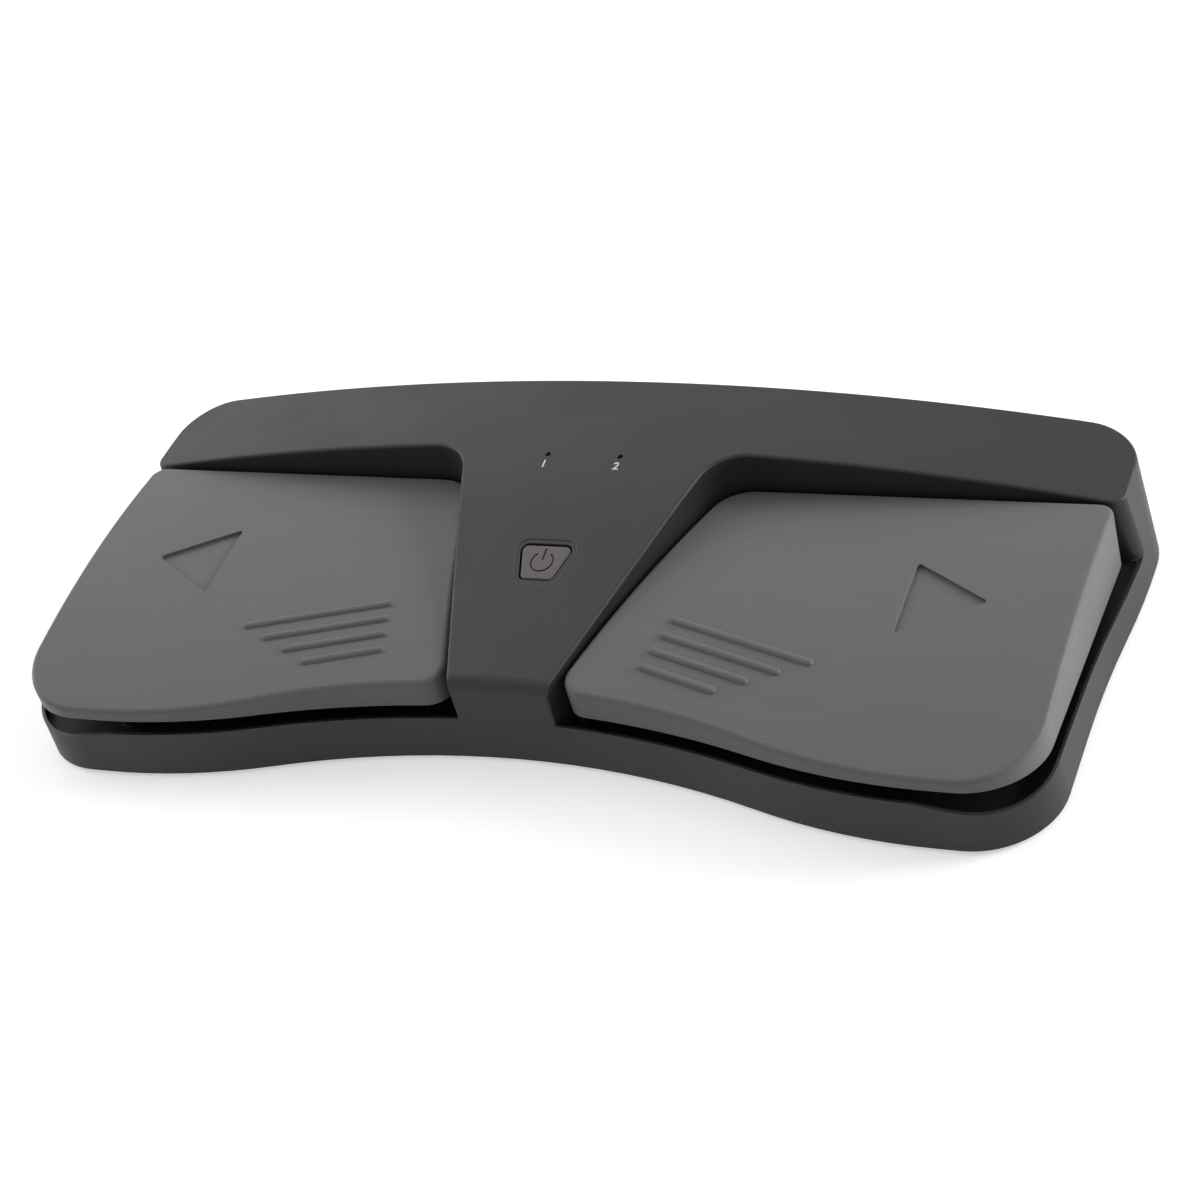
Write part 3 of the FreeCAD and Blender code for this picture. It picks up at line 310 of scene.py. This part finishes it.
def foot_rubber():
    """Foot rubber with a fine pebbled grip."""
    s = Shader("foot_rubber")
    s.set(Specular_IOR_Level=0.3)
    cloud = s.noise(160.0, 3.0)
    base = s.ramp(cloud, [(0.3, (0.014, 0.014, 0.014, 1)), (0.7, (0.026, 0.025, 0.024, 1))])
    pebbles = s.spread(s.cells(900.0), 1.0, 0.0, 0.0, 0.6)
    return s.finish(base, s.spread(cloud, 0.75, 0.9), s.bump(pebbles, 0.7, 0.15 * MM))


def metal(name, color, rough, stretch):
    """Drawn, stamped or plated metal with fine streaks."""
    s = Shader(name)
    s.set(Metallic=1.0)
    streaks = s.noise(1.0, 4.0, 0.6, s.stretched(stretch))
    cloud = s.noise(260.0, 3.0)
    base = s.ramp(cloud, shades(color, (0.3, 0.88), (0.7, 1.08)))
    roughness = s.spread(streaks, rough - 0.08, rough + 0.1)
    return s.finish(base, roughness, s.bump(streaks, 0.25, 0.01 * MM))


def smooth_plastic(name, color, rough, speckle=0.04):
    """Small smooth moulded parts."""
    s = Shader(name)
    cloud = s.noise(420.0, 3.0)
    fine = s.noise(3600.0, 2.0)
    base = s.ramp(cloud, shades(color, (0.3, 1 - speckle), (0.7, 1 + speckle)))
    roughness = s.spread(cloud, rough - 0.05, rough + 0.05)
    return s.finish(base, roughness, s.bump(fine, 0.2, 0.01 * MM))


def circuit_board():
    """Lacquered board with a raster of traces under the lacquer."""
    s = Shader("circuit_board")
    s.set(Coat_Weight=0.5, Coat_Roughness=0.15)
    bricks = s.add("ShaderNodeTexBrick")
    bricks.inputs["Scale"].default_value = 260.0
    bricks.inputs["Mortar Size"].default_value = 0.035
    bricks.inputs["Color1"].default_value = (0.012, 0.105, 0.045, 1)
    bricks.inputs["Color2"].default_value = (0.014, 0.125, 0.052, 1)
    bricks.inputs["Mortar"].default_value = (0.03, 0.22, 0.09, 1)
    s.link(s.coordinates, bricks.inputs["Vector"])
    cloud = s.noise(300.0, 3.0)
    raised = s.bump(bricks.outputs["Fac"], 0.3, 0.02 * MM)
    return s.finish(bricks.outputs["Color"], s.spread(cloud, 0.32, 0.45), raised)


def foam():
    """Open cell foam."""
    s = Shader("foam")
    s.set(Roughness=0.95)
    cells = s.cells(1500.0)
    base = s.ramp(cells, [(0.1, (0.018, 0.018, 0.019, 1)), (0.6, (0.085, 0.085, 0.09, 1))])
    return s.finish(base, None, s.bump(cells, 0.9, 0.2 * MM))


def battery_film():
    """Crinkled silvery film round the battery."""
    s = Shader("battery_film")
    s.set(Metallic=0.6)
    folds = s.noise(120.0, 5.0, 0.6)
    base = s.ramp(folds, [(0.3, (0.33, 0.34, 0.36, 1)), (0.7, (0.46, 0.47, 0.49, 1))])
    return s.finish(base, s.spread(folds, 0.28, 0.42), s.bump(folds, 0.35, 0.2 * MM))


def clear_pipe():
    """Clear moulded plastic."""
    s = Shader("clear_pipe")
    s.set(Transmission_Weight=0.9, IOR=1.49)
    cloud = s.noise(500.0, 2.0)
    base = s.ramp(cloud, [(0.3, (0.82, 0.84, 0.85, 1)), (0.7, (0.9, 0.91, 0.92, 1))])
    return s.finish(base, s.spread(cloud, 0.1, 0.2), None)


def print_ink():
    """White printing ink, a little uneven."""
    s = Shader("print_ink")
    cloud = s.noise(2400.0, 3.0)
    base = s.ramp(cloud, [(0.3, (0.62, 0.63, 0.62, 1)), (0.65, (0.86, 0.87, 0.86, 1))])
    return s.finish(base, s.spread(cloud, 0.45, 0.6), s.bump(cloud, 0.3, 0.01 * MM))


def slot_materials():
    """One material for each slot of the record."""
    made = {
        "tread_plastic": tread_plastic(),
        "button_plastic": button_plastic(),
        "foot_rubber": foot_rubber(),
        "bumper_rubber": bumper_rubber(),
        "foam": foam(),
        "circuit_board": circuit_board(),
        "clear_pipe": clear_pipe(),
        "battery_wrap": battery_film(),
    }
    families = (
        (grained_plastic, GRAINED_PLASTICS),
        (smooth_plastic, SMOOTH_PLASTICS),
        (metal, METALS),
    )
    for make, looks in families:
        for name, look in looks.items():
            made[name] = make(name, *look)
    return made


def dress_nodes(materials):
    """Gives every CAD node the material of its slot."""
    for part in frame["record"]["subparts"]:
        mesh = nodes[part["node"]].data
        mesh.materials.clear()
        mesh.materials.append(materials[part["material_slot"]])


def skin_tree(name):
    """A search tree over a node's surface, in the row frame."""
    mesh = nodes[name].data
    mesh.calc_loop_triangles()
    places = [v.co.copy() for v in mesh.vertices]
    return BVHTree.FromPolygons(places, [tuple(t.vertices) for t in mesh.loop_triangles])


def printed_figure(name, text, x, tree, ink):
    """A figure printed on the housing's top, laid on its surface point by point."""
    curve = bpy.data.curves.new(name, "FONT")
    curve.body = text
    curve.align_x = "CENTER"
    curve.align_y = "CENTER"
    curve.size = FIGURE_HEIGHT / FIGURE_HEIGHT_IN_FONT
    curve.offset = FIGURE_BOLDER
    curve.resolution_u = FIGURE_CURVE_STEPS
    words = bpy.data.objects.new(name + "_outline", curve)
    bpy.context.scene.collection.objects.link(words)
    bpy.context.view_layer.update()
    flat = words.evaluated_get(bpy.context.evaluated_depsgraph_get())
    mesh = bpy.data.meshes.new_from_object(flat)
    bpy.data.objects.remove(words)
    for vertex in mesh.vertices:
        above = Vector((vertex.co.x + x, vertex.co.y + FIGURE_Y, FIGURE_DROP_HEIGHT))
        place, normal, _, _ = tree.ray_cast(above, Vector((0, 0, -1)))
        vertex.co = place + normal * FIGURE_LIFT
    mesh.materials.append(ink)
    mesh.name = name
    figure = bpy.data.objects.new(name, mesh)
    bpy.context.scene.collection.objects.link(figure)
    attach(figure, "housing")


def pressed_spring(side, steel):
    """A copy of a return spring in spring steel, in its place and held to the housing, standing in for
    the hidden CAD node.
    """
    node = nodes[side + "_return_spring"]
    spring = bpy.data.objects.new(side + "_spring_coil", node.data.copy())
    spring.data.materials.clear()
    spring.data.materials.append(steel)
    spring.matrix_world = node.matrix_world
    bpy.context.scene.collection.objects.link(spring)
    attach(spring, "housing")
    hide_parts(node.name)
    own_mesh(spring)


def area_lamp(name, turn, lift, size, power):
    """A soft square lamp that faces the pedal, with its turn and lift in degrees."""
    data = bpy.data.lights.new(name, "AREA")
    data.shape = "SQUARE"
    data.size = size
    data.energy = power
    lamp = bpy.data.objects.new(name, data)
    turn, lift = math.radians(turn), math.radians(lift)
    across = math.cos(lift)
    way = Vector((-math.sin(turn) * across, math.cos(turn) * across, math.sin(lift)))
    lamp.location = way * LAMP_DISTANCE
    lamp.rotation_mode = "QUATERNION"
    lamp.rotation_quaternion = way.to_track_quat("Z", "Y")
    bpy.context.scene.collection.objects.link(lamp)


def seen_directly(tree):
    """One for what the camera sees straight, in a gloss or through something clear, else zero."""
    path = tree.nodes.new("ShaderNodeLightPath")
    seen = path.outputs["Is Camera Ray"]
    for name in ("Is Glossy Ray", "Is Transmission Ray"):
        larger = tree.nodes.new("ShaderNodeMath")
        larger.operation = "MAXIMUM"
        tree.links.new(seen, larger.inputs[0])
        tree.links.new(path.outputs[name], larger.inputs[1])
        seen = larger.outputs["Value"]
    return seen


def pale_floor():
    """A square floor that looks white and keeps the pedal's shadow."""
    signs = ((-1, -1), (1, -1), (1, 1), (-1, 1))
    corners = [(x * FLOOR_REACH, y * FLOOR_REACH, 0) for x, y in signs]
    mesh = bpy.data.meshes.new("floor")
    mesh.from_pydata(corners, [], [(0, 1, 2, 3)])
    floor = bpy.data.objects.new("floor", mesh)
    bpy.context.scene.collection.objects.link(floor)
    s = Shader("floor")
    s.set(Roughness=0.9, Specular_IOR_Level=0.1)
    cloud = s.noise(3.0, 2.0)
    base = s.ramp(cloud, [(0.3, (0.90, 0.90, 0.90, 1)), (0.7, (0.93, 0.93, 0.93, 1))])
    glow = s.add("ShaderNodeMapRange")
    glow.inputs["To Max"].default_value = FLOOR_GLOW
    s.link(seen_directly(s.tree), glow.inputs["Value"])
    s.link(glow.outputs["Result"], s.principled.inputs["Emission Strength"])
    s.principled.inputs["Emission Color"].default_value = (1, 1, 1, 1)
    mesh.materials.append(s.finish(base))


def white_surround():
    """A world that looks white and lights the pedal only a little."""
    world = bpy.data.worlds.new("world")
    bpy.context.scene.world = world
    world.use_nodes = True
    tree = world.node_tree
    background = tree.nodes["Background"]
    background.inputs["Color"].default_value = (1, 1, 1, 1)
    strength = tree.nodes.new("ShaderNodeMapRange")
    strength.inputs["To Min"].default_value = WORLD_LIGHT
    strength.inputs["To Max"].default_value = 1.0
    tree.links.new(seen_directly(tree), strength.inputs["Value"])
    tree.links.new(strength.outputs["Result"], background.inputs["Strength"])


camera()
materials = slot_materials()
dress_nodes(materials)
ink = print_ink()
housing_tree = skin_tree("top_housing")
for figure_name, figure_text, figure_x in FIGURES:
    printed_figure(figure_name, figure_text, figure_x, housing_tree, ink)
for spring_side in ("left", "right"):
    pressed_spring(spring_side, materials["spring_steel"])
pale_floor()
white_surround()
for lamp in LAMPS:
    area_lamp(*lamp)

bpy.context.scene.view_settings.view_transform = "Standard"
